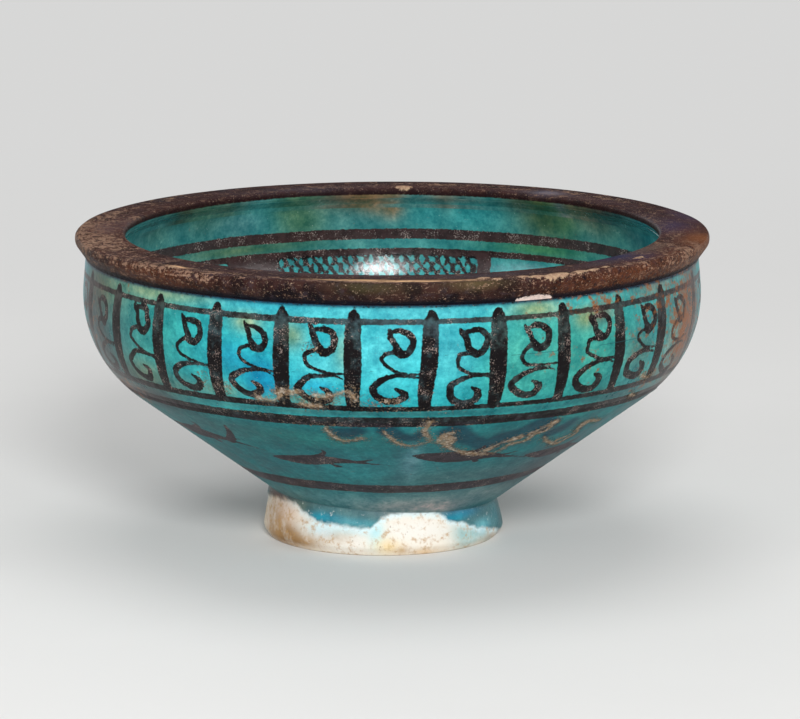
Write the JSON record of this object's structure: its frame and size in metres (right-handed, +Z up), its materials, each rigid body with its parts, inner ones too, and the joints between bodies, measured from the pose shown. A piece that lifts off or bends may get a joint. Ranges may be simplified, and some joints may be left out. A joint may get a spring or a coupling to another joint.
{
  "type": "stonepaste bowl",
  "caption": "Round glazed bowl with a conical lower wall, a rounded shoulder, a flat ledge rim and a flared foot ring, for serving or display.",
  "frame": {"origin": "on the bowl's axis, at the level of the foot ring's bearing face", "axes": "+Z up along the bowl's axis, -Y towards the viewer of the picture, +X to the right"},
  "size_m": [0.2, 0.2, 0.0975],
  "materials": {
    "stonepaste": "bare fired stonepaste, matt, off-white",
    "turquoise_glaze": "glossy turquoise alkaline glaze, worn",
    "rim_glaze": "glossy brown-black glaze, worn to tan at the edges"
  },
  "bodies": {
    "root": {"wall_shell": "stonepaste", "rim_ledge": "stonepaste", "foot_ring": "stonepaste", "outer_glaze": "turquoise_glaze", "inner_glaze": "turquoise_glaze", "rim_glaze": "rim_glaze"}
  },
  "joints": []
}
